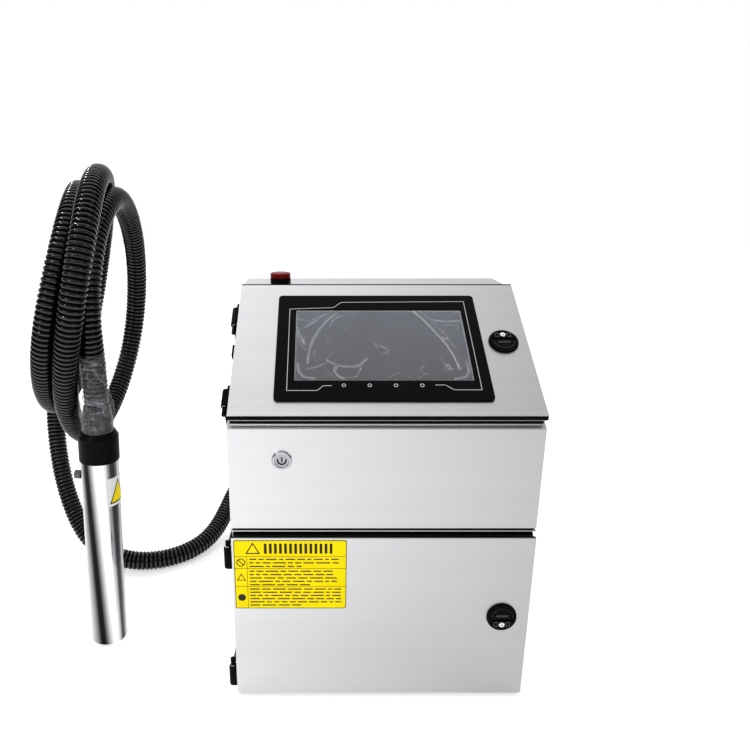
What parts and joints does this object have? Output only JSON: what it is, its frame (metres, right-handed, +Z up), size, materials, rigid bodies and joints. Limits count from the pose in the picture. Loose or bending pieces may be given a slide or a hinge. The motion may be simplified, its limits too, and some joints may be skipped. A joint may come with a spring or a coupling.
{
  "type": "date code inkjet printer",
  "caption": "Continuous inkjet date coder: stacked steel housings with a sloping display lid and a latched door, and a cylindrical print head on a coiled umbilical hose.",
  "frame": {"origin": "centre of the housing's underside, on the floor", "axes": "+Z up, the door and the display face -Y, the print head stands on the -X side"},
  "size_m": [0.7092, 0.5163, 0.6292],
  "materials": {
    "stainless_sheet": "brushed",
    "inner_steel": "satin",
    "bright_steel": "polished",
    "black_rubber": "matt",
    "black_hardware": "satin",
    "hose_black": "gloss",
    "collar_black": "gloss",
    "nut_grey": "satin",
    "bezel_black": "gloss",
    "screen_grey": "gloss",
    "clear_film": "gloss",
    "button_metal": "satin",
    "signal_red": "gloss",
    "light_white": "gloss",
    "label_yellow": "matt",
    "circuit_green": "satin",
    "supply_metal": "satin",
    "tank_white": "satin",
    "cap_black": "satin",
    "cap_red": "satin",
    "pump_aluminium": "satin",
    "motor_dark": "satin",
    "electrode_brass": "satin"
  },
  "bodies": {
    "housing": {"lower_cabinet": "stainless_sheet", "housing_gasket": "black_rubber", "upper_cabinet": "stainless_sheet", "door_hinge_cabinet_halves": "black_hardware", "door_hinge_pins": "bright_steel", "lid_hinge_cabinet_halves": "black_hardware", "lid_hinge_pins": "bright_steel", "power_button_ring": "bright_steel", "beacon_base": "black_hardware", "beacon_lens": "signal_red", "control_board": "circuit_green", "power_supply": "supply_metal", "high_voltage_module": "black_hardware", "fan_housing": "black_hardware", "power_inlet": "black_hardware", "drip_tray": "inner_steel", "ink_tank": "tank_white", "solvent_tank": "tank_white", "pump_motor": "motor_dark", "pump_head": "pump_aluminium", "ink_filter": "tank_white", "valve_manifold": "pump_aluminium", "mixing_tank": "tank_white", "cabinet_gland": "black_hardware", "umbilical_hose": "hose_black", "head_gland_nut": "nut_grey", "head_collar": "collar_black", "head_cover_tube": "bright_steel", "head_chassis": "inner_steel", "head_nozzle": "inner_steel", "head_charge_electrode": "electrode_brass", "head_deflection_plates": "inner_steel", "head_gutter": "inner_steel"},
    "door": {"door_panel": "stainless_sheet", "door_gasket": "black_rubber", "door_label": "label_yellow", "door_hinge_door_halves": "black_hardware", "door_latch_housing": "black_hardware"},
    "door_latch": {"door_latch_rotor": "black_hardware", "door_latch_cam": "inner_steel"},
    "door_latch_handle": {"door_latch_flap": "black_hardware"},
    "lid": {"lid_panel": "stainless_sheet", "lid_seals": "black_rubber", "lid_hinge_lid_halves": "black_hardware", "lid_latch_housing": "black_hardware", "display_bezel": "bezel_black", "display_panel": "screen_grey", "screen_film": "clear_film", "indicator_lights": "light_white", "display_board": "circuit_green", "lid_edge_pad": "black_rubber"},
    "lid_latch": {"lid_latch_rotor": "black_hardware", "lid_latch_cam": "inner_steel"},
    "lid_latch_handle": {"lid_latch_flap": "black_hardware"},
    "power_button": {"power_button_cap": "button_metal"},
    "fan": {"fan_rotor": "black_hardware"},
    "pump_rotor": {"pump_shaft": "inner_steel"},
    "ink_tank_cap": {"ink_cap": "cap_black"},
    "solvent_tank_cap": {"solvent_cap": "cap_red"},
    "thumb_screw": {"head_thumb_screw": "black_hardware"}
  },
  "joints": [
    {"name": "door_hinge", "type": "hinge", "parent": "housing", "child": "door", "pos_m": [-0.1793, -0.134, 0.1], "axis": [0, 0, -1], "range_deg": [0, 120]},
    {"name": "door_latch_turn", "type": "hinge", "parent": "door", "child": "door_latch", "pos_m": [0.1425, -0.139, 0.115], "axis": [0, -1, 0], "range_deg": [0, 90]},
    {"name": "door_latch_flap_lift", "type": "hinge", "parent": "door_latch", "child": "door_latch_handle", "pos_m": [0.1425, -0.1402, 0.1135], "axis": [1, 0, 0], "range_deg": [0, 80], "stiffness_Nm_per_rad": 0.01, "springref_deg": -17.19},
    {"name": "lid_hinge", "type": "hinge", "parent": "housing", "child": "lid", "pos_m": [-0.1793, -0.12801, 0.35677], "axis": [0, -0.8387, -0.5446], "range_deg": [0, 105]},
    {"name": "lid_latch_turn", "type": "hinge", "parent": "lid", "child": "lid_latch", "pos_m": [0.1465, -0.04175, 0.42591], "axis": [0, -0.5446, 0.8387], "range_deg": [0, 90]},
    {"name": "lid_latch_flap_lift", "type": "hinge", "parent": "lid_latch", "child": "lid_latch_handle", "pos_m": [0.1465, -0.04114, 0.42773], "axis": [-1, 0, 0], "range_deg": [0, 80], "stiffness_Nm_per_rad": 0.01, "springref_deg": -17.19},
    {"name": "power_button_press", "type": "slide", "parent": "housing", "child": "power_button", "axis": [0, 1, 0], "range_m": [0, 0.0025], "stiffness_N_per_m": 600, "springref_m": -0.001},
    {"name": "fan_spin", "type": "hinge", "parent": "housing", "child": "fan", "pos_m": [0.1, 0.12, 0.369], "axis": [0, 1, 0], "continuous": true},
    {"name": "pump_spin", "type": "hinge", "parent": "housing", "child": "pump_rotor", "pos_m": [0.118, -0.055, 0.08], "axis": [0, 0, 1], "continuous": true},
    {"name": "ink_cap_turn", "type": "hinge", "parent": "housing", "child": "ink_tank_cap", "pos_m": [-0.11, -0.068, 0.162], "axis": [0, 0, 1], "range_deg": [0, 360]},
    {"name": "solvent_cap_turn", "type": "hinge", "parent": "housing", "child": "solvent_tank_cap", "pos_m": [-0.005, -0.068, 0.162], "axis": [0, 0, 1], "range_deg": [0, 360]},
    {"name": "thumb_screw_turn", "type": "hinge", "parent": "housing", "child": "thumb_screw", "pos_m": [-0.35736, -0.026, 0.24487], "axis": [-0.999, 0, 0.0436], "range_deg": [0, 360]}
  ]
}
